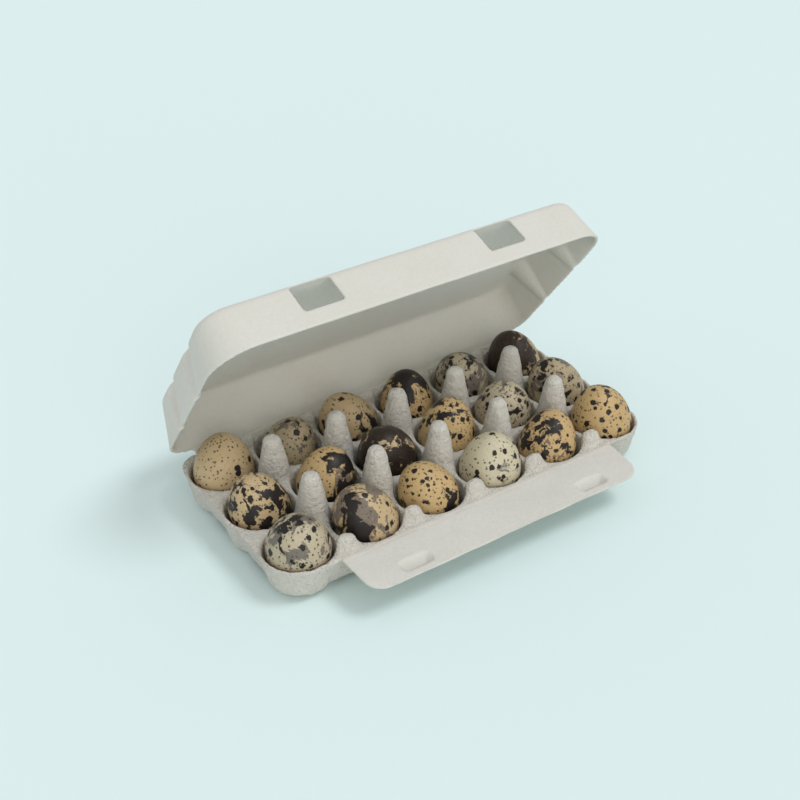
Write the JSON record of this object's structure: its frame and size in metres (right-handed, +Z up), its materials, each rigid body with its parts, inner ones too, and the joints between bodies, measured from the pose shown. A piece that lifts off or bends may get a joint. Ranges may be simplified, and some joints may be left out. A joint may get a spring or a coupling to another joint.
{
  "type": "egg carton",
  "caption": "Moulded-pulp carton for quail eggs with cupped tray, hollow posts, pleated hinged lid and a fold-up lock flap, shown open and filled.",
  "frame": {"origin": "centre of the ground that the open carton covers, on the plane that the cups stand on", "axes": "+X along the carton's length, +Z up, lock flap on the -Y side and lid crease on the +Y side"},
  "size_m": [0.1906, 0.132, 0.1047],
  "materials": {
    "tray_pulp": "matt moulded paper pulp, light warm grey",
    "lid_pulp": "matt moulded paper pulp, light warm grey",
    "flap_pulp": "matt moulded paper pulp, pressed smooth",
    "eggshell": "satin eggshell, tan to cream with dark brown speckles and blotches"
  },
  "bodies": {
    "tray": {"tray": "tray_pulp"},
    "lid": {"lid": "lid_pulp"},
    "lock_flap": {"lock_flap": "flap_pulp"},
    "egg_front_1": {"egg_front_1": "eggshell"},
    "egg_front_2": {"egg_front_2": "eggshell"},
    "egg_front_3": {"egg_front_3": "eggshell"},
    "egg_front_4": {"egg_front_4": "eggshell"},
    "egg_front_5": {"egg_front_5": "eggshell"},
    "egg_front_6": {"egg_front_6": "eggshell"},
    "egg_middle_1": {"egg_middle_1": "eggshell"},
    "egg_middle_2": {"egg_middle_2": "eggshell"},
    "egg_middle_3": {"egg_middle_3": "eggshell"},
    "egg_middle_4": {"egg_middle_4": "eggshell"},
    "egg_middle_5": {"egg_middle_5": "eggshell"},
    "egg_middle_6": {"egg_middle_6": "eggshell"},
    "egg_rear_1": {"egg_rear_1": "eggshell"},
    "egg_rear_2": {"egg_rear_2": "eggshell"},
    "egg_rear_3": {"egg_rear_3": "eggshell"},
    "egg_rear_4": {"egg_rear_4": "eggshell"},
    "egg_rear_5": {"egg_rear_5": "eggshell"},
    "egg_rear_6": {"egg_rear_6": "eggshell"}
  },
  "joints": [
    {"name": "lid_hinge", "type": "hinge", "parent": "tray", "child": "lid", "pos_m": [0, 0.05329, 0.0162], "axis": [-1, 0, 0], "range_deg": [-52.7, 87.3]},
    {"name": "flap_hinge", "type": "hinge", "parent": "tray", "child": "lock_flap", "pos_m": [0, -0.04546, 0.0162], "axis": [-1, 0, 0], "range_deg": [-42, 111]},
    {"name": "egg_front_1_lift", "type": "slide", "parent": "tray", "child": "egg_front_1", "axis": [0, 0, 1], "range_m": [0, 0.034]},
    {"name": "egg_front_2_lift", "type": "slide", "parent": "tray", "child": "egg_front_2", "axis": [0, 0, 1], "range_m": [0, 0.034]},
    {"name": "egg_front_3_lift", "type": "slide", "parent": "tray", "child": "egg_front_3", "axis": [0, 0, 1], "range_m": [0, 0.034]},
    {"name": "egg_front_4_lift", "type": "slide", "parent": "tray", "child": "egg_front_4", "axis": [0, 0, 1], "range_m": [0, 0.034]},
    {"name": "egg_front_5_lift", "type": "slide", "parent": "tray", "child": "egg_front_5", "axis": [0, 0, 1], "range_m": [0, 0.034]},
    {"name": "egg_front_6_lift", "type": "slide", "parent": "tray", "child": "egg_front_6", "axis": [0, 0, 1], "range_m": [0, 0.034]},
    {"name": "egg_middle_1_lift", "type": "slide", "parent": "tray", "child": "egg_middle_1", "axis": [0, 0, 1], "range_m": [0, 0.034]},
    {"name": "egg_middle_2_lift", "type": "slide", "parent": "tray", "child": "egg_middle_2", "axis": [0, 0, 1], "range_m": [0, 0.034]},
    {"name": "egg_middle_3_lift", "type": "slide", "parent": "tray", "child": "egg_middle_3", "axis": [0, 0, 1], "range_m": [0, 0.034]},
    {"name": "egg_middle_4_lift", "type": "slide", "parent": "tray", "child": "egg_middle_4", "axis": [0, 0, 1], "range_m": [0, 0.034]},
    {"name": "egg_middle_5_lift", "type": "slide", "parent": "tray", "child": "egg_middle_5", "axis": [0, 0, 1], "range_m": [0, 0.034]},
    {"name": "egg_middle_6_lift", "type": "slide", "parent": "tray", "child": "egg_middle_6", "axis": [0, 0, 1], "range_m": [0, 0.034]},
    {"name": "egg_rear_1_lift", "type": "slide", "parent": "tray", "child": "egg_rear_1", "axis": [0, 0, 1], "range_m": [0, 0.034]},
    {"name": "egg_rear_2_lift", "type": "slide", "parent": "tray", "child": "egg_rear_2", "axis": [0, 0, 1], "range_m": [0, 0.034]},
    {"name": "egg_rear_3_lift", "type": "slide", "parent": "tray", "child": "egg_rear_3", "axis": [0, 0, 1], "range_m": [0, 0.034]},
    {"name": "egg_rear_4_lift", "type": "slide", "parent": "tray", "child": "egg_rear_4", "axis": [0, 0, 1], "range_m": [0, 0.034]},
    {"name": "egg_rear_5_lift", "type": "slide", "parent": "tray", "child": "egg_rear_5", "axis": [0, 0, 1], "range_m": [0, 0.034]},
    {"name": "egg_rear_6_lift", "type": "slide", "parent": "tray", "child": "egg_rear_6", "axis": [0, 0, 1], "range_m": [0, 0.034]}
  ]
}
